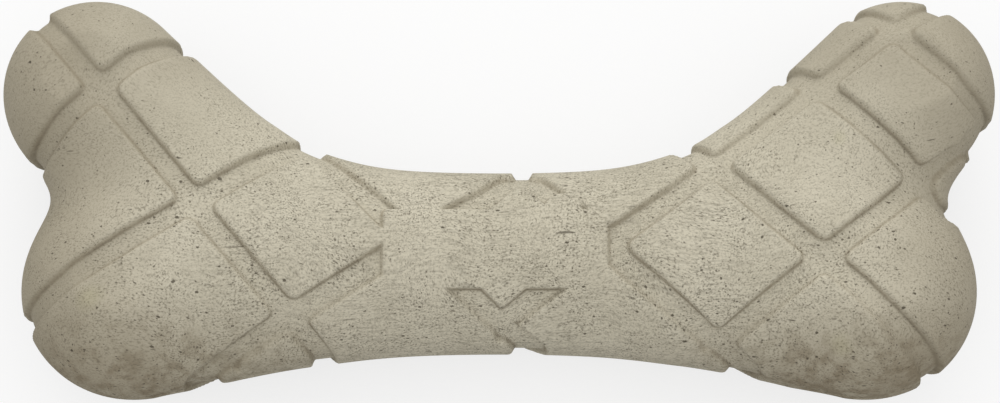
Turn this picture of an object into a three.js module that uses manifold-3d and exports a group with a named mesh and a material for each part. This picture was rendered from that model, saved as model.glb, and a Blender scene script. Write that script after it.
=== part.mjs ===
import * as THREE from 'three';
import { mergeGeometries, mergeVertices } from 'three/addons/utils/BufferGeometryUtils.js';
import Module from 'manifold-3d';

// A chew bone for dogs, lying on its back. Sizes are in millimetres.
// X runs along the bone, Y towards the two raised knuckles and Z through its thickness.
// Places in the plan are measured from the middle of the shaft.

// Shaft: half the length of its axis, and its half-heights and half-depths
const SHAFT_REACH = 54.6;
const WAIST_RADIUS = 17.1;
const WAIST_DEPTH = 16.2;
const FLARE_RADIUS = 20.5;
const FLARE_DEPTH = 14.2;

// Half the thickness, up to the flat lands on which the bone rests, and how far they cut into the knuckles
const REST_HEIGHT = 18.2;
const UPPER_LAND_CUT = 1.6;
const LOWER_LAND_CUT = 1.0;

// Raised arm: the ball at its root and the knuckle at its tip
const ARM_ROOT = { x: 56.9, y: 12.4, radius: 19.0, depth: 14.9 };
const UPPER_KNUCKLE = { x: 77.0, y: 32.9, radius: 18.0, depth: REST_HEIGHT + UPPER_LAND_CUT };

// Lower knuckle and the ball at its root
const LOWER_ROOT = { x: 40.0, y: 1.9, radius: 16.1, depth: 14.0 };
const LOWER_KNUCKLE = { x: 69.8, y: -5.5, radius: 19.8, depth: REST_HEIGHT + LOWER_LAND_CUT };

// How softly the limbs run together and how square their sections are
const BLEND = 3.8;
const SECTION_POWER = 2.1;

// Layers: wall of the cover, wall of the mantle, and the bond line between two layers
const COVER_WALL = 5.0;
const MANTLE_WALL = 3.7;
const BOND_GAP = 0.3;

// Keying pegs of the mantle, which pass through holes in the core
const PEG_RADIUS = 3.0;
const PEG_CLEARANCE = 0.3;
const PEG_PLACES = [[26, 0], [69, -5]];

// Diamond grooves: width at the skin, width of the floor, depth, and height of the cutting bar over the skin
const GROOVE_WIDTH = 5.6;
const GROOVE_FLOOR = 4.0;
const GROOVE_DEPTH = 1.3;
const BAR_RISE = 2.5;

// Groove lines in the plan. Each runs on to the rim at both ends.
const FALLING_GROOVES = [
  [[-76.5, 31.8], [-41.0, -9.4]],
  [[38.0, 16.5], [78.0, -20.8]],
  [[56.0, 32.2], [79.2, 11.0], [84.0, 7.8]],
  [[70.0, 43.0], [90.0, 25.0]],
];
const RISING_GROOVES = [
  [[-86.0, 18.6], [-67.4, 35.3], [-62.4, 38.9]],
  [[-86.0, -11.4], [-52.0, 10.4], [-35.6, 20.3], [-35.0, 21.8]],
  [[-50.0, -20.6], [-21.0, -2.4], [-1.5, 9.0], [4.1, 14.5], [4.3, 16.5]],
];
// These start in another groove and run on to the rim at their far end only
const BRANCH_GROOVES = [
  [[-35.6, 20.3], [-21.5, 5.5], [0.0, -13.5]],
  [[4.1, 14.5], [7.1, 11.2], [40.0, -17.6]],
  [[0.5, -13.9], [82.0, 45.6]],
  [[40.3, -17.9], [87.0, 19.1]],
];

// Bare panel in the middle, level with the diamonds
const PANEL_X = -1.0;
const PANEL_Y = -0.3;
const PANEL_LENGTH = 41.8;
const PANEL_HEIGHT = 15.2;

// Fineness of the skin, of the hidden layers and of the grooves
const SKIN_LONG_STEPS = 19;
const SKIN_ACROSS_STEPS = 16;
const LAYER_LONG_STEPS = 9;
const LAYER_ACROSS_STEPS = 8;
const GROOVE_STEPS = 13;
const PEG_SIDES = 20;

// Working: step along the rim, probe for a slope, rounds of halving and of nudging onto the rim
const RIM_STEP = 0.8;
const PROBE = 0.01;
const HALVING_ROUNDS = 40;
const NUDGE_ROUNDS = 8;

const { clamp, lerp } = THREE.MathUtils;
const wasm = await Module();
wasm.setup();

// How far a point lies outside a rounded section of the given half-height and half-depth
function section(reach, z, radius, depth) {
  const sum = reach ** SECTION_POWER + Math.abs(z * radius / depth) ** SECTION_POWER;
  return sum ** (1 / SECTION_POWER) - radius;
}

// The waisted shaft, which flares by the square of the distance from its middle
function shaft(x, y, z) {
  const along = clamp(x / SHAFT_REACH, 0, 1);
  const flare = along * along;
  const reach = Math.hypot(x - along * SHAFT_REACH, y);
  return section(reach, z, lerp(WAIST_RADIUS, FLARE_RADIUS, flare), lerp(WAIST_DEPTH, FLARE_DEPTH, flare));
}

// A limb that tapers from one ball to another
function limb(x, y, z, from, to) {
  const dx = to.x - from.x;
  const dy = to.y - from.y;
  const along = clamp(((x - from.x) * dx + (y - from.y) * dy) / (dx * dx + dy * dy), 0, 1);
  const reach = Math.hypot(x - from.x - along * dx, y - from.y - along * dy);
  return section(reach, z, lerp(from.radius, to.radius, along), lerp(from.depth, to.depth, along));
}

// The whole bone: negative inside, zero on the skin
function bone(x, y, z) {
  const side = Math.abs(x);
  const limbs = [
    shaft(side, y, z),
    limb(side, y, z, ARM_ROOT, UPPER_KNUCKLE),
    limb(side, y, z, LOWER_ROOT, LOWER_KNUCKLE),
  ];
  const nearest = Math.min(...limbs);
  const sum = limbs.reduce((total, d) => total + Math.exp((nearest - d) / BLEND), 0);
  return nearest - BLEND * Math.log(sum);
}

// Direction in which the bone's field grows fastest
function slope(p) {
  return new THREE.Vector3(
    bone(p.x + PROBE, p.y, p.z) - bone(p.x - PROBE, p.y, p.z),
    bone(p.x, p.y + PROBE, p.z) - bone(p.x, p.y - PROBE, p.z),
    bone(p.x, p.y, p.z + PROBE) - bone(p.x, p.y, p.z - PROBE),
  ).divideScalar(2 * PROBE);
}

// Height of the skin, or of a layer set in from it, above the parting plane
function crown(x, y, inset) {
  let low = 0;
  let high = 2 * REST_HEIGHT;
  for (let i = 0; i < HALVING_ROUNDS; i += 1) {
    const z = (low + high) / 2;
    if (bone(x, y, z) < -inset) low = z;
    else high = z;
  }
  return Math.min(low, REST_HEIGHT);
}

// Move a point in the parting plane onto the rim of a layer
function ontoRim(p, inset) {
  for (let i = 0; i < NUDGE_ROUNDS; i += 1) {
    const grow = slope(p);
    p.addScaledVector(grow, -(bone(p.x, p.y, 0) + inset) / grow.lengthSq());
  }
  return p;
}

// Follow the rim of the right half: along the top, round the end and back along the bottom
function traceRim(inset) {
  const runs = [[], [], []];
  let turn = 0;
  let p = ontoRim(new THREE.Vector3(0, WAIST_RADIUS - inset, 0), inset);
  while (p.x >= 0) {
    const out = slope(p).normalize();
    runs[turn].push(p);
    const atTop = turn === 0 && p.y > UPPER_KNUCKLE.y && out.x > out.y;
    const atBottom = turn === 1 && p.y < LOWER_KNUCKLE.y && out.x < -out.y;
    if (atTop || atBottom) {
      turn += 1;
      runs[turn].push(p);
    }
    p = ontoRim(p.clone().add(new THREE.Vector3(out.y, -out.x, 0).multiplyScalar(RIM_STEP)), inset);
  }
  runs[2].push(ontoRim(new THREE.Vector3(0, p.y, 0), inset));
  return { top: runs[0], end: runs[1].reverse(), bottom: runs[2].reverse() };
}

// Points at the given shares of the length of a run
function pointsAlong(run, shares) {
  const reach = [0];
  for (let i = 1; i < run.length; i += 1) reach.push(reach[i - 1] + run[i].distanceTo(run[i - 1]));
  const whole = reach[reach.length - 1];
  return shares.map((share) => {
    const at = share * whole;
    const i = clamp(reach.findIndex((r) => r >= at - 1e-9), 1, run.length - 1);
    return run[i - 1].clone().lerp(run[i], (at - reach[i - 1]) / (reach[i] - reach[i - 1]));
  });
}

// Shares of a length that close up towards its far end, or towards both ends
const towardsEnd = (n) => Array.from({ length: n + 1 }, (_, i) => Math.sin(i / n * Math.PI / 2));
const towardsBoth = (n) => Array.from({ length: n + 1 }, (_, i) => (1 - Math.cos(i / n * Math.PI)) / 2);

// Plan grid of the right half, stretched between the four runs of its rim
function planGrid(inset, steps) {
  const rim = traceRim(inset);
  const us = towardsEnd(steps.long);
  const vs = towardsBoth(steps.across);
  const top = pointsAlong(rim.top, us).map((p) => ontoRim(p, inset));
  const bottom = pointsAlong(rim.bottom, us).map((p) => ontoRim(p, inset));
  const end = pointsAlong(rim.end, vs).map((p) => ontoRim(p, inset));
  top[0].x = 0;
  bottom[0].x = 0;
  const last = steps.long;
  return us.map((u, i) => vs.map((v, j) => {
    if (j === 0) return bottom[i];
    if (j === steps.across) return top[i];
    if (i === last) return end[j];
    const p = bottom[i].clone().lerp(top[i], v);
    const ends = bottom[last].clone().lerp(top[last], v);
    return p.addScaledVector(end[j].clone().sub(ends), u);
  }));
}

// Skin of the front right quarter of a layer
function quarterSkin(inset, steps) {
  const grid = planGrid(inset, steps);
  const points = [];
  const faces = [];
  const row = steps.across + 1;
  grid.forEach((line, i) => line.forEach((p, j) => {
    const onRim = i === steps.long || j === 0 || j === steps.across;
    points.push(p.x, p.y, onRim ? 0 : crown(p.x, p.y, inset));
    if (i === steps.long || j === steps.across) return;
    const a = i * row + j;
    faces.push(a, a + row, a + row + 1, a, a + row + 1, a + 1);
  }));
  return meshOf(points, faces);
}

// Geometry from a list of coordinates and a list of corners
function meshOf(points, faces) {
  const geometry = new THREE.BufferGeometry();
  geometry.setAttribute('position', new THREE.Float32BufferAttribute(points, 3));
  geometry.setIndex(faces);
  return geometry;
}

// Mirror image of a geometry, with its faces turned to look outwards again
function mirrored(geometry, x, y, z) {
  const image = geometry.clone().scale(x, y, z);
  const corners = image.index.array;
  for (let i = 0; i < corners.length; i += 3) {
    [corners[i], corners[i + 1]] = [corners[i + 1], corners[i]];
  }
  return image;
}

// Solid for cutting and joining, and the geometry of a finished solid
function solidOf(geometry) {
  const bare = geometry.clone();
  bare.deleteAttribute('normal');
  bare.deleteAttribute('uv');
  const joined = mergeVertices(bare, 1e-4);
  return new wasm.Manifold(new wasm.Mesh({
    numProp: 3,
    vertProperties: new Float32Array(joined.attributes.position.array),
    triVerts: new Uint32Array(joined.index.array),
  }));
}

function geometryOf(solid) {
  const mesh = solid.getMesh();
  return meshOf(Array.from(mesh.vertProperties), Array.from(mesh.triVerts));
}

// Whole body of a layer, made of four mirrored quarters
function layer(inset, steps) {
  const quarter = quarterSkin(inset, steps);
  const half = mergeGeometries([quarter, mirrored(quarter, -1, 1, 1)]);
  return solidOf(mergeGeometries([half, mirrored(half, 1, 1, -1)]));
}

// Block over a stretch of the plan, from the parting plane forwards
function blockOver(x, y, length, height) {
  const depth = 3 * REST_HEIGHT;
  return solidOf(new THREE.BoxGeometry(length, height, depth).translate(x, y, depth / 2));
}

// Walk from a plan point towards the rim and stop on it
function runOut(from, to) {
  const step = to.clone().sub(from).setLength(RIM_STEP);
  const p = to.clone();
  while (bone(p.x, p.y, 0) < 0) p.add(step);
  let inside = p.clone().sub(step);
  let outside = p;
  for (let i = 0; i < HALVING_ROUNDS; i += 1) {
    const middle = inside.clone().lerp(outside, 0.5);
    if (bone(middle.x, middle.y, 0) < 0) inside = middle;
    else outside = middle;
  }
  return inside;
}

// Centre line of a groove on the skin, carried on past the parting plane where it meets the rim
function groovePath(places, isBranch) {
  const plan = places.map(([x, y]) => new THREE.Vector3(x, y, 0));
  const last = plan.length - 1;
  const end = runOut(plan[last - 1], plan[last]);
  const start = isBranch ? plan[0] : runOut(plan[1], plan[0]);
  const line = [start, ...plan.slice(1, last), end];
  const path = pointsAlong(line, towardsBoth(GROOVE_STEPS));
  path.forEach((p, i) => {
    const onRim = i === GROOVE_STEPS || (i === 0 && !isBranch);
    p.z = onRim ? 0 : crown(p.x, p.y, 0);
  });
  const past = new THREE.Vector3(0, 0, -GROOVE_DEPTH);
  path.push(path[GROOVE_STEPS].clone().add(past));
  if (!isBranch) path.unshift(path[0].clone().add(past));
  return path;
}

// Four corners of the groove's profile at one place on its centre line
function grooveProfile(path, i) {
  const p = path[i];
  const out = slope(new THREE.Vector3(p.x, p.y, Math.max(p.z, 0))).normalize();
  const ahead = path[Math.min(i + 1, path.length - 1)].clone().sub(path[Math.max(i - 1, 0)]);
  const side = out.clone().cross(ahead).normalize();
  const widen = (GROOVE_WIDTH - GROOVE_FLOOR) / GROOVE_DEPTH;
  const corner = (width, height) => p.clone().addScaledVector(side, width / 2).addScaledVector(out, height);
  const mouth = GROOVE_WIDTH + widen * BAR_RISE;
  return [
    corner(mouth, BAR_RISE), corner(-mouth, BAR_RISE),
    corner(-GROOVE_FLOOR, -GROOVE_DEPTH), corner(GROOVE_FLOOR, -GROOVE_DEPTH),
  ];
}

// Bar that cuts one groove: the profile swept along the centre line
function grooveBar(places, isBranch) {
  const path = groovePath(places, isBranch);
  const points = path.flatMap((_, i) => grooveProfile(path, i).flatMap((p) => p.toArray()));
  const faces = [0, 3, 2, 0, 2, 1];
  for (let i = 0; i < path.length - 1; i += 1) {
    for (let k = 0; k < 4; k += 1) {
      const a = 4 * i + k;
      const b = 4 * i + (k + 1) % 4;
      faces.push(a, b, b + 4, a, b + 4, a + 4);
    }
  }
  const e = 4 * (path.length - 1);
  faces.push(e, e + 1, e + 2, e, e + 2, e + 3);
  return solidOf(meshOf(points, faces));
}

// All the groove bars of the front, cut away where the bare panel stays
function grooveBars() {
  const through = [...FALLING_GROOVES, ...RISING_GROOVES].map((places) => grooveBar(places, false));
  const branches = BRANCH_GROOVES.map((places) => grooveBar(places, true));
  const panel = blockOver(PANEL_X, PANEL_Y, PANEL_LENGTH, PANEL_HEIGHT);
  return [...through, ...branches].reduce((all, bar) => all.add(bar)).subtract(panel);
}

// Round bars through the thickness at the keying places, on both sides of the middle
function keyBars(radius, from, to) {
  const bars = PEG_PLACES.flatMap(([x, y]) => [-x, x].map((place) => solidOf(
    new THREE.CylinderGeometry(radius, radius, to - from, PEG_SIDES)
      .rotateX(Math.PI / 2).translate(place, y, (from + to) / 2),
  )));
  return bars.reduce((all, bar) => all.add(bar));
}

// Bodies of the layers, each set in from the skin
const mantleInset = COVER_WALL + BOND_GAP;
const mantleFloor = mantleInset + MANTLE_WALL;
const coreInset = mantleFloor + BOND_GAP;
const skinSteps = { long: SKIN_LONG_STEPS, across: SKIN_ACROSS_STEPS };
const layerSteps = { long: LAYER_LONG_STEPS, across: LAYER_ACROSS_STEPS };
const skin = layer(0, skinSteps);
const coverHollow = layer(COVER_WALL, layerSteps);
const mantle = layer(mantleInset, layerSteps);
const mantleHollow = layer(mantleFloor, layerSteps);
const coreBody = layer(coreInset, layerSteps);
const frontSpace = blockOver(0, 0, 6 * UPPER_KNUCKLE.x, 6 * UPPER_KNUCKLE.x);

// Front halves and the core; the back halves mirror the front ones through the parting plane
const coverFront = geometryOf(skin.intersect(frontSpace).subtract(coverHollow).subtract(grooveBars()));
const pegs = keyBars(PEG_RADIUS, 0, REST_HEIGHT).intersect(mantle);
const mantleFront = geometryOf(mantle.subtract(mantleHollow).intersect(frontSpace).add(pegs));
const core = geometryOf(coreBody.subtract(keyBars(PEG_RADIUS + PEG_CLEARANCE, -REST_HEIGHT, REST_HEIGHT)));

// Named pieces with their materials
function piece(name, geometry, color, roughness) {
  geometry.computeVertexNormals();
  const mesh = new THREE.Mesh(geometry, new THREE.MeshStandardMaterial({ color, roughness, metalness: 0 }));
  mesh.name = name;
  return mesh;
}

const bonePart = new THREE.Group();
bonePart.name = 'chew_bone';
bonePart.add(
  piece('core', core, 0x8f8672, 0.8),
  piece('mantle_front', mantleFront, 0x9d947f, 0.85),
  piece('mantle_back', mirrored(mantleFront, 1, 1, -1), 0x9d947f, 0.85),
  piece('cover_front', coverFront, 0xaba492, 0.9),
  piece('cover_back', mirrored(coverFront, 1, 1, -1), 0xaba492, 0.9),
);

// Stand the bone on its resting lands, with the origin under the middle of its outline
coverFront.computeBoundingBox();
const middle = coverFront.boundingBox.getCenter(new THREE.Vector3());
bonePart.position.set(-middle.x, -middle.y, REST_HEIGHT);

export default bonePart;
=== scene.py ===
# %% [markdown]
# # A chew bone for dogs
# The bone is modelled in layers: a hard core, a mantle round it and a cover with a quilted
# diamond relief. The cover is two half shells that meet at the middle of the thickness.
# Only the outside of the real bone is known, so how the inside is made is a guess.
# The CAD model already has every layer. Here the two cover halves are made again with a
# fine skin, and every piece gets its material.

# %% Load the frame
import math
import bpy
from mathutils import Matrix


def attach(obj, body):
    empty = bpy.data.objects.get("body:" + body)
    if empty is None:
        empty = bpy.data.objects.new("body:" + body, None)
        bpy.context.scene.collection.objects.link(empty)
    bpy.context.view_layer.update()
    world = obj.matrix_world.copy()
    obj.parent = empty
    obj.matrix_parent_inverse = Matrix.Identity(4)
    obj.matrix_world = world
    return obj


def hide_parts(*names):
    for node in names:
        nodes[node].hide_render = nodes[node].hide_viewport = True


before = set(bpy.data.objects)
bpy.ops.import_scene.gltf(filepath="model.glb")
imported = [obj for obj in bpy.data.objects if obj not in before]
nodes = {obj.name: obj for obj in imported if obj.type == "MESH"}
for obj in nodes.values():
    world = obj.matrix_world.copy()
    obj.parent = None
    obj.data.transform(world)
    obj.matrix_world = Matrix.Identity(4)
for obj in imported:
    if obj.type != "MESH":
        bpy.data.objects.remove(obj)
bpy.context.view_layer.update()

from types import SimpleNamespace

import bpy
import numpy as np
from mathutils import Matrix, Vector

print("CAD nodes:", sorted(nodes))

# %% [markdown]
# ## Sizes
# These are the CAD model's own sizes, so that both skins agree. All are in millimetres, and
# places in the plan are measured from the middle of the shaft. A ball is written as its x, its
# y, its radius in the plan and its half-depth. The crowns of the knuckles are cut flat at the
# height on which the bone rests. Only the cover's wall is thinner than in the CAD model, so
# that its inner sheet stays clear of the mantle's facets.

# %% Sizes
SHAFT_REACH = 54.6
WAIST_RADIUS, WAIST_DEPTH = 17.1, 16.2
FLARE_RADIUS, FLARE_DEPTH = 20.5, 14.2
REST_HEIGHT = 18.2
UPPER_LAND_CUT, LOWER_LAND_CUT = 1.6, 1.0
ARM_ROOT = (56.9, 12.4, 19.0, 14.9)
UPPER_KNUCKLE = (77.0, 32.9, 18.0, REST_HEIGHT + UPPER_LAND_CUT)
LOWER_ROOT = (40.0, 1.9, 16.1, 14.0)
LOWER_KNUCKLE = (69.8, -5.5, 19.8, REST_HEIGHT + LOWER_LAND_CUT)
BLEND = 3.8
POWER = 2.1
COVER_WALL = 4.0
print("Bone of about", round(2 * (UPPER_KNUCKLE[0] + UPPER_KNUCKLE[2])), "mm")

# %% [markdown]
# ## The bone as a field
# A smooth bone is hard to draw with profiles, because three limbs meet at each end. It is
# easy to say how far a point lies outside each limb, and to let the three distances run
# softly together. The skin is where the result is zero, and the layers lie at fixed depths.

# %% Limbs
def section(reach, z, radius, depth):
    """Outside distance of a rounded section.

    It is the power mean of the sideways reach and the scaled height, less the radius.
    """
    return (np.abs(reach) ** POWER + np.abs(z * radius / depth) ** POWER) ** (1 / POWER) - radius


def limb(x, y, z, start, end):
    """Outside distance of a limb that tapers from one ball to another, by the nearest place on its axis."""
    dx, dy = end[0] - start[0], end[1] - start[1]
    t = np.clip(((x - start[0]) * dx + (y - start[1]) * dy) / (dx * dx + dy * dy), 0, 1)
    reach = np.hypot(x - start[0] - t * dx, y - start[1] - t * dy)
    return section(reach, z, start[2] + (end[2] - start[2]) * t, start[3] + (end[3] - start[3]) * t)


for name, start, end in (("Arm", ARM_ROOT, UPPER_KNUCKLE), ("Lower limb", LOWER_ROOT, LOWER_KNUCKLE)):
    print(name, "with an axis of", round(math.dist(start[:2], end[:2]), 1), "mm")

# %% [markdown]
# The soft least of the three distances rounds the creases between the limbs, as a mould does.
# Fillets could do the same on a CAD solid, but they fail easily where three limbs meet. The
# slope of the field is square to the skin, and the crown is the skin's height over the plan.

# %% The field
def bone(x, y, z):
    """Outside distance of the bone: the soft least of those of the shaft, the arm and the lower knuckle.

    The shaft flares by the square of x, and the left side mirrors the right one.
    """
    side = np.abs(x)
    t = np.clip(side / SHAFT_REACH, 0, 1)
    radius = WAIST_RADIUS + (FLARE_RADIUS - WAIST_RADIUS) * t * t
    depth = WAIST_DEPTH + (FLARE_DEPTH - WAIST_DEPTH) * t * t
    limbs = np.stack([
        section(np.hypot(side - t * SHAFT_REACH, y), z, radius, depth),
        limb(side, y, z, ARM_ROOT, UPPER_KNUCKLE),
        limb(side, y, z, LOWER_ROOT, LOWER_KNUCKLE),
    ])
    near = limbs.min(0)
    return near - BLEND * np.log(np.exp((near - limbs) / BLEND).sum(0))


def slope(x, y, z, h=0.01):
    """Gradient of the field by differences over a small step both ways."""
    return np.stack([
        bone(x + h, y, z) - bone(x - h, y, z),
        bone(x, y + h, z) - bone(x, y - h, z),
        bone(x, y, z + h) - bone(x, y, z - h),
    ], -1) / (2 * h)


def crown(x, y, inset, rounds=40):
    """Height at which the field equals minus the inset, found by halving an interval."""
    low, high = np.zeros_like(x), np.full_like(x, 2 * REST_HEIGHT)
    for _ in range(rounds):
        z = (low + high) / 2
        inside = bone(x, y, z) < -inset
        low, high = np.where(inside, z, low), np.where(inside, high, z)
    return low


print("Half-thickness at the waist:", round(float(crown(np.zeros(1), np.zeros(1), 0.0)[0]), 1), "mm")

# %% [markdown]
# ## From the rim to a grid
# The outline in the plan is the rim at which the two halves meet. Its right half is split
# into a top run, an end run and a bottom run, because a patch with four sides can be filled
# with even faces and a fan from the middle can't. First each run is sketched with a few
# points near the rim, and then its points are moved onto the rim by the slope of the field.

# %% Rim
def on_ball(ball, *degrees):
    """Points on a ball's outline at angles counted from +X."""
    a = np.radians(degrees)
    return np.c_[ball[0] + ball[2] * np.cos(a), ball[1] + ball[2] * np.sin(a)]


half = SHAFT_REACH / 2
TOP_RUN = np.vstack([[(0, WAIST_RADIUS), (half, WAIST_RADIUS)], on_ball(ARM_ROOT, 135),
                     on_ball(UPPER_KNUCKLE, 135, 112, 90, 68, 45)])
END_RUN = np.vstack([on_ball(LOWER_KNUCKLE, -45, -22, 0, 22, 40),
                     on_ball(UPPER_KNUCKLE, -45, -22, 0, 22, 45)])
BOTTOM_RUN = np.vstack([[(0, -WAIST_RADIUS), (half, -WAIST_RADIUS)],
                        on_ball(LOWER_KNUCKLE, -112, -90, -68, -45)])


def share_points(run, shares):
    """Points at given shares of the length of a run of straight pieces."""
    reach = np.r_[0, np.cumsum(np.hypot(*np.diff(run, axis=0).T))]
    at = np.asarray(shares) * reach[-1]
    return np.c_[np.interp(at, reach, run[:, 0]), np.interp(at, reach, run[:, 1])]


def onto_rim(p, inset, rounds=12):
    """Newton steps along the slope, in the plane of the rim, to where the field equals minus the inset."""
    for _ in range(rounds):
        x, y = p.T
        g = slope(x, y, np.zeros_like(x))[:, :2]
        p = p - g * ((bone(x, y, np.zeros_like(x)) + inset) / (g ** 2).sum(1))[:, None]
    return p


print("Points in the sketched runs:", len(TOP_RUN), len(END_RUN), len(BOTTOM_RUN))

# %% [markdown]
# A grid of two parameters is stretched between the three runs and the middle of the shaft, and
# each grid point is lifted to the skin. A remesh of a rough solid would be less work, but its
# faces would be uneven under the relief. Grid lines close up towards the rim, where the skin is
# steep. The left half is the mirror image.

# %% Grid
SKIN_STEPS, LINING_STEPS = (280, 160), (28, 16)
EVEN_ALONG, EVEN_ACROSS = 0.8, 0.7
RIM_POINTS = 900
LAND_EASE = 0.12


def eased(n, straight):
    """Shares from 0 to 1: evenly spaced over a straight part, then on a sine that closes up."""
    t = np.linspace(0, 1, n + 1)
    a = straight * math.pi / 2 / (1 - straight)
    knee = a / (1 + a)
    q = np.clip((t - straight) / (1 - straight), 0, 1)
    return np.where(t < straight, t * knee / straight, knee + (1 - knee) * np.sin(q * math.pi / 2))


def plan(inset, long_steps, across_steps):
    """Plan of the whole half: blend of bottom and top runs in v, plus what the end run adds, weighed by u."""
    u = eased(long_steps, EVEN_ALONG)
    e = eased(across_steps // 2, EVEN_ACROSS)
    v = np.r_[0.5 - e[::-1] / 2, 0.5 + e[1:] / 2]
    fine = np.linspace(0, 1, RIM_POINTS)
    top, bottom, end = [onto_rim(share_points(onto_rim(share_points(run, fine), inset), shares), inset)
                        for run, shares in ((TOP_RUN, u), (BOTTOM_RUN, u), (END_RUN, v))]
    top[0, 0] = bottom[0, 0] = 0
    base = bottom[:, None] * (1 - v)[None, :, None] + top[:, None] * v[None, :, None]
    right = base + u[:, None, None] * (end - base[-1])[None]
    left = right[:0:-1] * (-1, 1)
    return np.concatenate([left, right])


def skin(inset, long_steps, across_steps):
    """Skin of the front half: the plan grid, lifted by the crown and eased flat at the resting height."""
    xy = plan(inset, long_steps, across_steps)
    z = np.zeros(xy.shape[:2])
    off_rim = xy[1:-1, 1:-1]
    z[1:-1, 1:-1] = crown(off_rim[..., 0].copy(), off_rim[..., 1].copy(), inset)
    over = np.logaddexp(0, (z - REST_HEIGHT) / LAND_EASE) * LAND_EASE
    return np.dstack([xy, np.where(z > 0, z - over, 0)])


outer = skin(0.0, *SKIN_STEPS)
lining = skin(COVER_WALL, *LINING_STEPS)
middle_y = (outer[..., 1].max() + outer[..., 1].min()) / 2
print("Skin grid", outer.shape[:2], "outline", np.round(np.ptp(outer[..., :2], axis=(0, 1)), 1), "mm")

# %% [markdown]
# ## The quilted relief
# The diamonds are left standing between two families of grooves, falling and rising, that run
# nearly straight in the plan and go over the rim to the back. The CAD model cuts them with
# bars, which leaves hard walls. Here the skin is pushed in by a formula instead, because the
# real walls are soft. Each groove is its width and the places that its middle line passes. A
# line that leaves the bone ends outside its rim, so that the groove has no round end there. A
# groove that widens at the rim gets a second, wider line.

# %% Groove lines
FALLING = [
    (4.2, [(-91.3, 49.7), (-57.7, 10.6), (-53.2, 4.3), (-36.0, -15.6), (-27.5, -24.6)]),
    (4.6, [(-33.3, 19.3), (-21.0, 6.0), (-15.8, 1.4)]),
    (4.4, [(-16.2, 0.6), (1.4, -15.1), (7.6, -18.7)]),
    (4.8, [(6.4, 13.6), (7.9, 12.0), (13.6, 6.6), (23.6, -4.0), (39.3, -17.3), (47.6, -22.9)]),
    (4.4, [(31.8, 24.7), (40.4, 15.0), (50.1, 5.4), (65.5, -8.2), (72.5, -15.4), (76.8, -19.2),
           (84.2, -25.2)]),
    (4.1, [(50.9, 38.7), (62.8, 27.3), (80.0, 11.3), (82.4, 8.5), (83.6, 8.0), (90.3, 8.3)]),
    (3.7, [(64.0, 51.0), (71.5, 43.6), (76.6, 37.8), (87.5, 28.3), (97.0, 22.4)]),
    (4.8, [(1.4, -15.0), (12.5, -19.7)]),
    (5.0, [(39.3, -17.3), (52.2, -24.8)]),
]
RISING = [
    (4.5, [(-93.8, 14.6), (-89.4, 18.1)]),
    (4.0, [(-88.4, 17.9), (-86.6, 18.6), (-84.6, 19.9), (-76.0, 27.6), (-67.6, 35.5), (-56.5, 43.7)]),
    (4.2, [(-91.6, -15.0), (-77.4, -6.0), (-66.2, 1.5), (-57.0, 7.2)]),
    (4.7, [(-57.0, 7.2), (-44.2, 16.1), (-36.2, 21.2), (-34.3, 25.3)]),
    (5.4, [(-35.4, 21.9), (-33.9, 25.5)]),
    (4.8, [(-66.0, -28.7), (-50.0, -20.5), (-29.6, -8.0), (-21.0, -2.5), (-12.0, 3.4), (-2.1, 10.0),
           (1.8, 14.0)]),
    (3.2, [(3.6, 13.2), (4.2, 15.0), (4.7, 21.0)]),
    (4.6, [(2.5, -12.6), (21.9, 2.0), (33.0, 10.5), (44.0, 19.8), (55.8, 28.6), (67.7, 37.1),
           (88.7, 51.6)]),
    (4.3, [(42.0, -16.3), (80.5, 14.4)]),
    (4.3, [(80.5, 14.6), (84.2, 17.5), (88.6, 20.3)]),
    (5.6, [(89.2, 21.6), (91.0, 23.0), (95.0, 25.0)]),
    (4.8, [(-62.0, -28.0), (-50.0, -20.5)]),
]
print(len(FALLING), "falling and", len(RISING), "rising groove lines")

# %% [markdown]
# A distance on the skin is the distance in the plan, stretched by the tilt of the skin. Where
# two grooves cross, the corners of the diamonds are rounded, but less so at the crossing just
# below the middle. A bare panel in the middle, with a small round lobe at its upper edge, stays
# level with the diamonds. The helpers below give these distances and their slopes.

# %% Distances on the skin
def groove_distance(p, normal, grooves):
    """Least distance on the skin to a groove's edge.

    It is the offset in the plan over the sine of its angle with the normal, less half the width.
    """
    best = np.full(p.shape[:-1], 1e3)
    for width, points in grooves:
        for a, b in zip(np.array(points[:-1]), np.array(points[1:])):
            d = b - a
            t = np.clip(((p[..., :2] - a) @ d) / (d @ d), 0, 1)
            off = p[..., :2] - a - t[..., None] * d
            size = np.hypot(off[..., 0], off[..., 1])
            along = (off * normal[..., :2]).sum(-1) / np.maximum(size, 1e-6)
            best = np.minimum(best, size / np.sqrt(np.maximum(1 - along ** 2, 0.05)) - width / 2)
    return best


def rounded(a, b, radius):
    """Distance inside the corner of two edges, with the corner rounded to a radius."""
    return radius - np.hypot(np.maximum(radius - a, 0), np.maximum(radius - b, 0))


def skin_gradient(points, values):
    """Gradient along the skin of a value on its grid.

    Each of the two slopes is taken along the direction in the skin that is square to the other
    tangent, and their sum is divided by the square of a cell's area.
    """
    along, across = np.gradient(points, axis=0), np.gradient(points, axis=1)
    up = np.cross(along, across)
    du, dv = (d[..., None] for d in np.gradient(values))
    return (np.cross(across, up) * du + np.cross(up, along) * dv) / ((up ** 2).sum(-1, keepdims=True) + 1e-12)


def smooth_step(x, low, high):
    """Cubic step from 0 to 1 between two bounds."""
    t = np.clip((x - low) / (high - low), 0, 1)
    return t * t * (3 - 2 * t)


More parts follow.
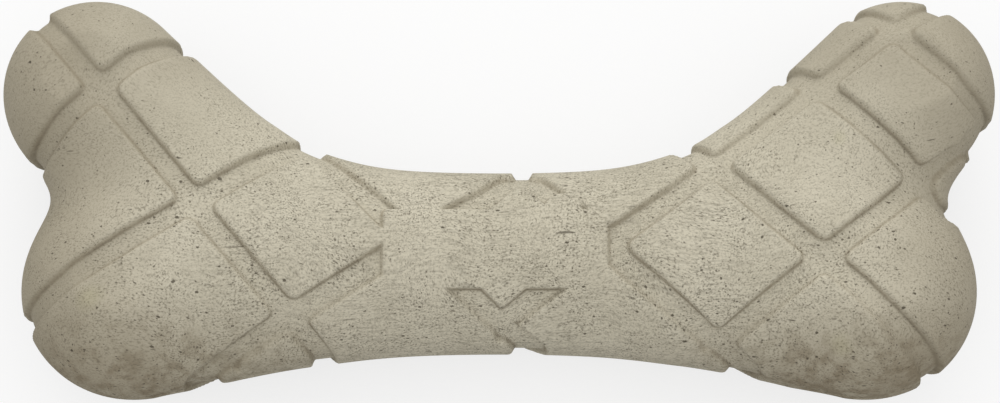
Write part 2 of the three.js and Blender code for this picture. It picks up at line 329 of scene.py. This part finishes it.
LAND_START, LAND_FULL = REST_HEIGHT - 1.2, REST_HEIGHT - 0.02
normal = slope(*np.moveaxis(outer, -1, 0))
normal /= np.linalg.norm(normal, axis=-1, keepdims=True)
on_land = smooth_step(outer[..., 2], LAND_START, LAND_FULL)[..., None]
normal = normal * (1 - on_land) + np.array([0, 0, 1]) * on_land
print("Share of the skin on flat lands:", round(float((on_land > 0.5).mean()), 3))

# %% [markdown]
# The level says how far a point lies inside a diamond or the panel, and is negative in a
# groove. The skin sinks by the groove depth inside a groove, and by a thin seam at the rim. The
# lee is high on the sides that look down the plan, in the shade, and sets where shade is painted
# along the grooves.

# %% Relief
GROOVE_DEPTH, WALL = 1.3, 0.95
CORNER, TIGHT_CORNER = 1.5, 0.5
TIGHT_PLACE, TIGHT_REACH = (0.5, -11.0), (5.0, 9.0)
PANEL_PLACE, PANEL_SIZE, PANEL_CORNER = (-0.7, -0.4), (41.4, 15.4), 1.0
LOBE_PLACE, LOBE_RADIUS = (11.8, 7.2), 3.6
SEAM_DEPTH, SEAM_WIDTH = 0.08, 0.35
LEE_WEIGHT, LEE_RANGE = 1.5, (-0.4, 1.4)


def away_from(place):
    """Distance in the plan from a place."""
    return np.hypot(outer[..., 0] - place[0], outer[..., 1] - place[1])


loose = smooth_step(away_from(TIGHT_PLACE), *TIGHT_REACH)
diamonds = rounded(groove_distance(outer, normal, FALLING), groove_distance(outer, normal, RISING),
                   TIGHT_CORNER + (CORNER - TIGHT_CORNER) * loose)
panel = rounded(*(PANEL_SIZE[k] / 2 - np.abs(outer[..., k] - PANEL_PLACE[k]) for k in (0, 1)), PANEL_CORNER)
level = np.maximum(diamonds, np.maximum(panel, LOBE_RADIUS - away_from(LOBE_PLACE)))
groove = 1 - smooth_step(level, -WALL / 2, WALL / 2)
seam = np.exp(-(outer[..., 2] / SEAM_WIDTH) ** 2)
relief = outer - normal * (GROOVE_DEPTH * groove + SEAM_DEPTH * seam)[..., None]
# The lee marks the sides turned from the lamp, where shade is painted along the grooves.
lee = smooth_step(LEE_WEIGHT * skin_gradient(outer, level)[..., 1] - normal[..., 1], *LEE_RANGE)
print("Share of the skin in grooves:", round(float((groove > 0.5).mean()), 2))

# %% [markdown]
# ## The cover halves
# Each half is a closed shell: the fine relief outside, a plain lining inside and a flat ring
# between their rims. An open sheet would look the same, but it would have no wall. A collar
# just below the grooves splits the ring: outside it a strip follows the notched rim, and inside
# it fans reach the lining's rim, which has one point for every ten, as a hidden sheet needs no
# fine faces. These helpers number the points and list the faces.

# %% Faces of a shell
def grid_index(shape, first):
    """Vertex numbers of a grid, counted on from the first."""
    return first + np.arange(shape[0] * shape[1]).reshape(shape[:2])


def quads(index):
    """Four-sided faces of a grid, looking towards +Z."""
    return np.stack([index[:-1, :-1], index[1:, :-1], index[1:, 1:], index[:-1, 1:]], -1).reshape(-1, 4)


def border(index):
    """Vertex numbers round a grid's border, turning left."""
    return np.concatenate([index[:-1, 0], index[-1, :-1], index[:0:-1, -1], index[0, :0:-1]])


def strip(outside, inside):
    """Four-sided faces between two borders of equal length, looking down."""
    return np.stack([np.roll(outside, -1), outside, inside, np.roll(inside, -1)], -1)


def fans(outside, inside):
    """Three-sided faces between two borders.

    The outside border has a whole number of points for each point of the inside one.
    """
    ratio = len(outside) // len(inside)
    m = np.arange(len(outside))
    near = inside[(m + ratio // 2) // ratio % len(inside)]
    n = np.arange(len(inside))
    turn = outside[(n * ratio + (ratio + 1) // 2) % len(outside)]
    return np.vstack([np.stack([np.roll(outside, -1), outside, near], -1),
                      np.stack([inside, np.roll(inside, -1), turn], -1)])


out_index = grid_index(relief.shape, 0)
in_index = grid_index(lining.shape, out_index.size)
print("Rim points outside and inside:", len(border(out_index)), len(border(in_index)))

# %% [markdown]
# The back half is the front half turned over through the plane of the rim, so its faces are
# listed the other way round. Level and lee are stored on the mesh, where they place the painted
# shade along the grooves. Each half takes the place of its CAD node.

# %% Cover halves
COLLAR = 2.2


def cover_half(name, side):
    """One closed half shell in metres, on the front (side 1) or the back (side -1)."""
    rim = border(out_index)
    collar = out_index.size + in_index.size + np.arange(len(rim))
    below = (outer - COLLAR * normal).reshape(-1, 3)[rim]
    points = np.vstack([relief.reshape(-1, 3), lining.reshape(-1, 3), below])
    points = (points - (0, middle_y, 0)) * (1, 1, side) + (0, 0, REST_HEIGHT)
    four = np.vstack([quads(out_index), quads(in_index)[:, ::-1], strip(rim, collar)])
    three = fans(collar, border(in_index))
    if side < 0:
        four, three = four[:, ::-1], three[:, ::-1]
    mesh = bpy.data.meshes.new(name)
    mesh.from_pydata((points / 1000).tolist(), [], four.tolist() + three.tolist())
    mesh.polygons.foreach_set("use_smooth", np.arange(len(four) + len(three)) < len(four) - len(rim))
    for key, values in (("level", np.clip(level, -3, 3)), ("lee", lee)):
        data = np.zeros(len(points), np.float32)
        data[:values.size] = values.ravel()
        mesh.attributes.new(key, "FLOAT", "POINT").data.foreach_set("value", data)
    piece = bpy.data.objects.new(name, mesh)
    bpy.context.scene.collection.objects.link(piece)
    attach(piece, "root")
    return piece


covers = {"cover_front": cover_half("cover_front_skin", 1), "cover_back": cover_half("cover_back_skin", -1)}
for node, piece in covers.items():
    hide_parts(node)
    print(piece.name, len(piece.data.vertices), "points,", len(piece.data.polygons), "faces")

# %% [markdown]
# ## The chew compound
# The compound is a matt greige mass, full of ground plant fibre. Its detail is in layers of
# falling size: clouds and blotches, faint streaks along the bone, a short grain with pale
# husks in it, dark specks in three sizes, straw stains and a few long dark fibres. A painted
# picture would show seams where its map is cut. Everything here is a pattern in the solid
# instead, so the grain runs through edges and grooves as it does in the real thing. First come
# small helpers that add one node each.

# %% Node helpers
def add(tree, kind, *values, out=0, **more):
    """Adds a node. Values fill its inputs in order; named ones fill inputs or settings. Returns an output."""
    node = tree.nodes.new(kind)
    for key in [k for k in more if hasattr(node, k)]:
        setattr(node, key, more.pop(key))
    named = [(node.inputs[k.replace("_", " ")], v) for k, v in more.items()]
    for socket, value in [*zip(node.inputs, values), *named]:
        if isinstance(value, bpy.types.NodeSocket):
            tree.links.new(value, socket)
        elif value is not None:
            socket.default_value = value
    return node.outputs[out]


def ramp(tree, value, low, high, to_low=0.0, to_high=1.0):
    """Smooth change from one value to another as the input passes between two bounds."""
    return add(tree, "ShaderNodeMapRange", value, low, high, to_low, to_high, interpolation_type="SMOOTHSTEP")


def tint(tree, factor, below, above):
    """Mixes two colours, either of which may be a socket."""
    node = tree.nodes.new("ShaderNodeMix")
    node.data_type = "RGBA"
    for socket, value in ((node.inputs[0], factor), (node.inputs[6], below), (node.inputs[7], above)):
        if isinstance(value, bpy.types.NodeSocket):
            tree.links.new(value, socket)
        else:
            socket.default_value = value
    return node.outputs[2]


def math_of(tree, operation, a, b):
    """One operation on two values."""
    return add(tree, "ShaderNodeMath", a, b, operation=operation)


def times(tree, a, b):
    """Product of two values."""
    return math_of(tree, "MULTIPLY", a, b)


def plus(tree, a, b):
    """Sum of two values."""
    return math_of(tree, "ADD", a, b)


def stretched(tree, place, scale, turn=(0, 0, 0)):
    """Turned and scaled copy of a place."""
    return add(tree, "ShaderNodeMapping", place, None, turn, scale)


print("Node helpers:", [f.__name__ for f in (add, ramp, tint, math_of, times, plus, stretched)])

# %% [markdown]
# Two patterns do most of the work. Noise gives soft clouds, or streaks where its place is
# stretched. A net of random cells gives grains: a cell is drawn lots for, and if it wins, a
# disc is put in its middle.

# %% Pattern helpers
def noise(tree, place, scale, detail=2.0, roughness=0.5):
    """Cloudy value from 0 to 1."""
    return add(tree, "ShaderNodeTexNoise", place, Scale=scale, Detail=detail, Roughness=roughness)


def specks(tree, place, share, size, edge, density=1.0):
    """Mask of scattered grains: a disc in each cell whose red number, plus share times density, passes 1."""
    node = tree.nodes.new("ShaderNodeTexVoronoi")
    tree.links.new(place, node.inputs["Vector"])
    node.inputs["Scale"].default_value = 1.0
    split = tree.nodes.new("ShaderNodeSeparateColor")
    tree.links.new(node.outputs["Color"], split.inputs[0])
    luck = add(tree, "ShaderNodeMath", density, share, split.outputs[0], operation="MULTIPLY_ADD")
    spread = ramp(tree, split.outputs[1], 0, 1, 0.6, 1.4)
    disc = ramp(tree, math_of(tree, "DIVIDE", node.outputs["Distance"], spread), size, size - edge)
    return times(tree, ramp(tree, luck, 1.0, 1.02), disc)


print("Pattern helpers:", [f.__name__ for f in (noise, specks)])

# %% [markdown]
# The place of a point is taken in millimetres and bent by a slow and a fine cloud, so that
# the grain flows and specks come out ragged. Zones say where on the bone a point is, because
# the grain is combed along the shaft and the two low ends are browner.

# %% Places and zones
FLOW_SCALE, FLOW_REACH = 0.06, 7.0
WOBBLE_SCALE, WOBBLE_REACH = 2.6, 0.4
ZONE_SPANS, ZONE_RISE, ZONE_MIDDLE = (80, 35), 0.43, 3.0
LOW_Y, LOW_SIDE = (-20, -40), (12, 64)


def grain_places(tree):
    """Place in millimetres, the same place bent by a slow cloud, and that one bent again by a fine cloud."""
    mm = stretched(tree, add(tree, "ShaderNodeTexCoord", out=3), (1000, 1000, 1000))
    flow = add(tree, "ShaderNodeTexNoise", mm, Scale=FLOW_SCALE, Detail=1.0, out=1)
    bent = add(tree, "ShaderNodeVectorMath", flow, (FLOW_REACH,) * 3, mm, operation="MULTIPLY_ADD")
    wobble = add(tree, "ShaderNodeTexNoise", mm, Scale=WOBBLE_SCALE, Detail=2.0, out=1)
    ragged = add(tree, "ShaderNodeVectorMath", wobble, (WOBBLE_REACH,) * 3, bent, operation="MULTIPLY_ADD")
    return mm, bent, ragged


def zones(tree, mm):
    """Where a point is on the bone.

    Gives the length of its place in shares of two spans, counted from a point below the middle,
    its y, its distance to the side of the middle, and a mask of the two low ends.
    """
    spans = (1 / ZONE_SPANS[0], 1 / ZONE_SPANS[1], 0)
    shares = add(tree, "ShaderNodeMapping", mm, (0, ZONE_RISE, 0), None, spans)
    reach = add(tree, "ShaderNodeVectorMath", shares, operation="LENGTH", out=1)
    along, across = (add(tree, "ShaderNodeSeparateXYZ", mm, out=axis) for axis in (0, 1))
    sideways = math_of(tree, "ABSOLUTE", math_of(tree, "SUBTRACT", along, ZONE_MIDDLE), 0.0)
    low = times(tree, ramp(tree, across, *LOW_Y), ramp(tree, sideways, *LOW_SIDE))
    return reach, across, sideways, low


print("Grain bends by up to", FLOW_REACH, "mm, specks by", WOBBLE_REACH, "mm")

# %% [markdown]
# All the patterns are made once and shared. A patchy value decides where the grain is dense.
# A row of the table of specks is the number of cells for each millimetre of x, y and z, the
# share of cells that are filled at a density of 1, the disc's size and soft edge, and its
# strength.

# %% Patterns
SPECKS = {
    "dots": ((1.7, 2.1, 2.1), 0.28, 0.32, 0.14, 0.72),
    "dark": ((0.55, 0.85, 0.85), 0.42, 0.18, 0.07, 0.85),
    "large": ((0.17, 0.23, 0.23), 0.30, 0.06, 0.02, 0.80),
}


def patterns(tree):
    """The values that the finish is mixed from: clouds, grain, masks of specks, and zones."""
    mm, bent, ragged = grain_places(tree)
    reach, across, sideways, low = zones(tree, mm)
    patches = ramp(tree, noise(tree, bent, 0.12, 3.0, 0.6), 0.36, 0.62, 0.25, 1.0)
    crowd = times(tree, patches, ramp(tree, reach, 0.7, 1.3, 1.0, 0.4))
    crowd = plus(tree, crowd, times(tree, low, 0.3))
    return SimpleNamespace(
        bent=bent, reach=reach, across=across, sideways=sideways, low=low, patches=patches,
        clouds=noise(tree, mm, 0.05, 3.0),
        blotch=noise(tree, bent, 0.30, 3.0, 0.6),
        streaks=noise(tree, stretched(tree, bent, (0.16, 1.8, 1.8)), 1.0, 2.0),
        dashes=noise(tree, stretched(tree, bent, (0.8, 3.2, 3.2)), 1.0, 1.0),
        grain=noise(tree, stretched(tree, bent, (2.5, 3.0, 3.0)), 1.0, 2.0, 0.6),
        soft=times(tree, ramp(tree, reach, 0.55, 1.4, 1.02, 0.5), ramp(tree, patches, 0, 1, 0.55, 1.0)),
        specks={name: specks(tree, stretched(tree, ragged, cells), share, size, edge, crowd)
                for name, (cells, share, size, edge, _) in SPECKS.items()},
    )


print("Kinds of specks:", list(SPECKS))

# %% [markdown]
# The base is a pale and a deep tone. A brown tone lies on it, in a mottle on the low ends and in
# a thin film towards the far ends.

# %% Base tone
HUSK = (0.72, 0.68, 0.55, 1)
STRAW = (0.55, 0.52, 0.32, 1)
STRAW_CELLS, STRAW_DISC, STRAW_STRENGTH = (0.045, 0.05, 0.05), (0.16, 0.13, 0.11), 0.5
FAR_SIDE = (55, 90)


def browner_ends(tree, p):
    """Share of the brown tone: a mottle on the low ends, and over the rest a film that grows outwards."""
    mottle = plus(tree, ramp(tree, p.clouds, 0.3, 0.7, 0.38, 0.95), ramp(tree, p.blotch, 0.40, 0.70, 0, 0.60))
    low = times(tree, p.low, mottle)
    far = ramp(tree, p.sideways, *FAR_SIDE, 0, 0.5)
    far = math_of(tree, "MAXIMUM", far, ramp(tree, p.reach, 1.0, 1.4, 0, 0.3))
    far = plus(tree, far, ramp(tree, p.reach, 0.55, 1.0, 0, 0.05))
    return plus(tree, low, times(tree, far, math_of(tree, "SUBTRACT", 1.0, low)))


def base_tone(tree, p, pale, deep, brown_and_shade):
    """Pale and deep tone mixed by clouds, then blotches, pale husks in the grain, straw stains and the brown
    of the ends.
    """
    husks = times(tree, p.soft, ramp(tree, p.grain, 0.47, 0.31, 0, 0.55))
    straw = specks(tree, stretched(tree, p.bent, STRAW_CELLS), *STRAW_DISC)
    colour = tint(tree, ramp(tree, p.clouds, 0.3, 0.7, 0.35, 0.95), deep, pale)
    colour = tint(tree, ramp(tree, p.blotch, 0.50, 0.75, 0, 0.30), colour, deep)
    colour = tint(tree, husks, colour, HUSK)
    colour = tint(tree, times(tree, straw, STRAW_STRENGTH), colour, STRAW)
    return tint(tree, browner_ends(tree, p), colour, brown_and_shade)


print("Tones of husk and straw:", HUSK[:3], STRAW[:3])

# %% [markdown]
# Dark detail comes over the base. A fibre is a grain in a long thin cell, and a pair in the list
# of fibres is a turn in radians and a strength. On the skin, shade is also painted along the foot
# of each diamond, by the level and the lee stored on the mesh: strongly on the shaded sides,
# with a dark core of painted shadow, and faintly on the others.

# %% Dark detail
BLACK = (0.075, 0.062, 0.042, 1)
FIBRE_CELLS, FIBRE_DISC = (0.045, 0.8, 0.8), (0.11, 0.13, 0.05)
FIBRES = ((0.4, 0.5), (-1.3, 0.7))
FAINT_Y, UNDER_Y = (-26, -12), (6, 24)


def flecked(tree, p, colour):
    """Colour darkened by streaks and dashes along the shaft, then by grain, specks and fibres."""
    combed = ramp(tree, p.reach, 0.45, 1.0, 0.95, 0.15)
    masks = [times(tree, combed, ramp(tree, p.streaks, 0.48, 0.70, 0, 0.20)),
             times(tree, combed, ramp(tree, p.dashes, 0.50, 0.72, 0, 0.26)),
             times(tree, p.soft, ramp(tree, p.grain, 0.49, 0.67, 0, 0.58))]
    masks += [times(tree, p.specks[name], row[-1]) for name, row in SPECKS.items()]
    for turn, strength in FIBRES:
        cells = stretched(tree, p.bent, FIBRE_CELLS, (0, 0, turn))
        masks.append(times(tree, specks(tree, cells, *FIBRE_DISC), strength))
    for mask in masks:
        colour = tint(tree, mask, colour, BLACK)
    return colour


def painted_groove_shade(tree, p, colour, brown_and_shade):
    """Colour with a line of painted shade where the level is just below zero, strong or faint by the lee and
    by y.
    """
    # Painted shade: a dark line at the foot of each groove wall, strong on the shaded side.
    level_here = add(tree, "ShaderNodeAttribute", attribute_name="level", out=2)
    lee_here = add(tree, "ShaderNodeAttribute", attribute_name="lee", out=2)
    line = times(tree, ramp(tree, level_here, -0.8, -0.2), ramp(tree, level_here, 0.4, -0.2))
    patchy = times(tree, line, ramp(tree, p.blotch, 0.3, 0.6, 0.7, 1.2))
    faint = times(tree, ramp(tree, p.across, *FAINT_Y, 0.10, 0.42), ramp(tree, lee_here, 0.5, 0.0))
    under = times(tree, ramp(tree, p.across, *UNDER_Y, 0.52, 0.26), ramp(tree, lee_here, 0, 1))
    colour = tint(tree, times(tree, patchy, plus(tree, faint, under)), colour, brown_and_shade)
    # A darker core of painted shadow under the shaded walls.
    core = times(tree, ramp(tree, level_here, -0.55, -0.25), ramp(tree, level_here, 0.05, -0.25))
    core = times(tree, core, times(tree, p.patches, 0.55))
    return tint(tree, times(tree, core, under), colour, BLACK)


print("Fibres lie at", len(FIBRES), "turns")

# %% [markdown]
# The three layers share one recipe, and each has its own pale, deep and brown tone, darker
# towards the core. The brown tone browns the ends, and on the skin it is also the painted shade
# along the grooves. The inner layers can't be seen, so their tones are a guess. The grain and
# the middle specks are also a fine bump, and the grain changes the roughness a little.

# %% Compound material
# The third tone browns the ends, and on the skin it is also the painted shade in the grooves.
TONES = {
    "cover": ((0.645, 0.596, 0.469, 1), (0.515, 0.472, 0.361, 1), (0.265, 0.222, 0.152, 1)),
    "mantle": ((0.36, 0.32, 0.24, 1), (0.29, 0.255, 0.185, 1), (0.15, 0.13, 0.09, 1)),
    "core": ((0.29, 0.25, 0.18, 1), (0.22, 0.19, 0.135, 1), (0.11, 0.09, 0.06, 1)),
}
BUMP_HEIGHT, BUMP_STRENGTH = 0.00015, 0.3
SPECULAR = 0.2


def compound(name, pale, deep, brown_and_shade, on_skin):
    """Material of a fibre-filled compound of two tones and a brown tone, with shade painted along the grooves
    on the skin.
    """
    material = bpy.data.materials.new(name)
    material.use_nodes = True
    tree = material.node_tree
    tree.nodes.clear()
    p = patterns(tree)
    colour = flecked(tree, p, base_tone(tree, p, pale, deep, brown_and_shade))
    # On the skin, shade is painted along the grooves.
    if on_skin:
        colour = painted_groove_shade(tree, p, colour, brown_and_shade)
    bumps = plus(tree, p.grain, times(tree, p.dashes, 0.5))
    pitted = math_of(tree, "SUBTRACT", bumps, times(tree, p.specks["dark"], 0.5))
    bump = add(tree, "ShaderNodeBump", Strength=BUMP_STRENGTH, Distance=BUMP_HEIGHT, Height=pitted)
    roughness = ramp(tree, p.grain, 0.3, 0.7, 0.80, 0.95)
    shader = add(tree, "ShaderNodeBsdfPrincipled", colour, Roughness=roughness, Normal=bump,
                 Specular_IOR_Level=SPECULAR)
    tree.links.new(shader, tree.nodes.new("ShaderNodeOutputMaterial").inputs[0])
    return material


def paint(piece, material):
    """Gives a piece one material."""
    piece.data.materials.clear()
    piece.data.materials.append(material)


materials = {layer: compound(layer + "_compound", *tones, on_skin=layer == "cover")
             for layer, tones in TONES.items()}
for piece in covers.values():
    paint(piece, materials["cover"])
for node in ("mantle_front", "mantle_back", "core"):
    paint(nodes[node], materials[node.split("_")[0]])
print("Materials:", [m.name for m in materials.values()])

# %% [markdown]
# ## Floor
# The bone lies on a white table. A glowing plane would lose the shadow, and a lit one would
# look grey, so the camera sees a mix: mostly plain white, with a share of a lit surface that
# keeps a faint shadow. To the bone the table is a pale grey, so that it throws less light back
# at the lower sides.

# %% Floor
FLOOR_SPAN = 6
TABLE_GREY, PLAIN_SHARE = 0.42, 0.72

scene = bpy.context.scene
bpy.ops.mesh.primitive_plane_add(size=FLOOR_SPAN, location=(0, 0, 0))
floor = bpy.context.object
floor.name = "floor"


def looked_at(tree):
    """1 where the ray comes from the camera or through a mirror or a glass, else 0."""
    path = tree.nodes.new("ShaderNodeLightPath").outputs
    seen = math_of(tree, "MAXIMUM", path["Is Camera Ray"], path["Is Glossy Ray"])
    return math_of(tree, "MAXIMUM", seen, path["Is Transmission Ray"])


def white_table():
    """Material that is white with a faint shadow to the camera, and pale grey to other rays."""
    material = bpy.data.materials.new("white_table")
    material.use_nodes = True
    tree = material.node_tree
    tree.nodes.clear()
    grey = add(tree, "ShaderNodeBsdfDiffuse", (TABLE_GREY, TABLE_GREY, TABLE_GREY, 1))
    shaded = add(tree, "ShaderNodeBsdfDiffuse", (1, 1, 1, 1))
    plain = add(tree, "ShaderNodeEmission", (1, 1, 1, 1), 1.0)
    bright = add(tree, "ShaderNodeMixShader", PLAIN_SHARE, shaded, plain)
    surface = add(tree, "ShaderNodeMixShader", looked_at(tree), grey, bright)
    tree.links.new(surface, tree.nodes.new("ShaderNodeOutputMaterial").inputs[0])
    return material


paint(floor, white_table())
print("Floor of", FLOOR_SPAN, "m")

# %% [markdown]
# ## Light
# The light is that of a light tent: a soft sky that is brighter overhead than near the table,
# and plain white to the camera. Several lamps could give it too, but each would leave a shadow
# of its own. One wide soft lamp stands low behind the raised knuckles, so that the upper sides
# stay bright and the lower sides fall off.

# %% Light
LOW_SKY, HIGH_SKY = 0.60, 0.96
KEY_PLACE, KEY_AIM = (0.0, 1.13, 0.45), (0, 0, 0.02)
KEY_SIZE, KEY_POWER = 0.8, 5

world = bpy.data.worlds.new("studio")
scene.world = world
world.use_nodes = True
tree = world.node_tree
sky = tree.nodes["Background"]
sky.inputs[0].default_value = (1, 1, 1, 1)
height = add(tree, "ShaderNodeSeparateXYZ", add(tree, "ShaderNodeTexCoord"), out=2)
shade = add(tree, "ShaderNodeMapRange", height, 0.0, 1.0, LOW_SKY, HIGH_SKY)
tree.links.new(math_of(tree, "MAXIMUM", shade, looked_at(tree)), sky.inputs[1])


def lamp(name, place, aim, size, energy):
    """Square soft lamp at a place, turned to an aim."""
    data = bpy.data.lights.new(name, "AREA")
    data.size, data.energy = size, energy
    thing = bpy.data.objects.new(name, data)
    thing.location = place
    thing.rotation_euler = (Vector(aim) - Vector(place)).to_track_quat("-Z", "Y").to_euler()
    scene.collection.objects.link(thing)


lamp("key", KEY_PLACE, KEY_AIM, KEY_SIZE, KEY_POWER)

# %% [markdown]
# ## Camera
# The camera looks down on the bone and stands a little towards its lower edge. Its axes are
# written out, which is easier to follow than three angles.

# %% Camera
TILT, DISTANCE = math.radians(14.37), 0.450
LENS, SENSOR = 85.0, 36
AIM_X, AIM_Y = 0.16, 12.206
CLIP_NEAR, CLIP_FAR = 0.01, 20

target = Vector((AIM_X, AIM_Y - middle_y, REST_HEIGHT)) / 1000
back = Vector((0, -math.sin(TILT), math.cos(TILT)))
right = Vector((1, 0, 0))
up = back.cross(right)
camera_data = bpy.data.cameras.new("camera")
camera_data.lens, camera_data.sensor_width = LENS, SENSOR
camera_data.clip_start, camera_data.clip_end = CLIP_NEAR, CLIP_FAR
camera = bpy.data.objects.new("camera", camera_data)
turned = Matrix((right, up, back)).transposed().to_4x4()
camera.matrix_world = Matrix.Translation(target + back * DISTANCE) @ turned
scene.collection.objects.link(camera)
scene.camera = camera
scene.view_settings.view_transform = "Standard"
print("Camera", DISTANCE, "m from the bone, tilted", round(math.degrees(TILT), 1), "degrees")

# %% [markdown]
# ## Finish

# %% Finish
print("Scene ready")
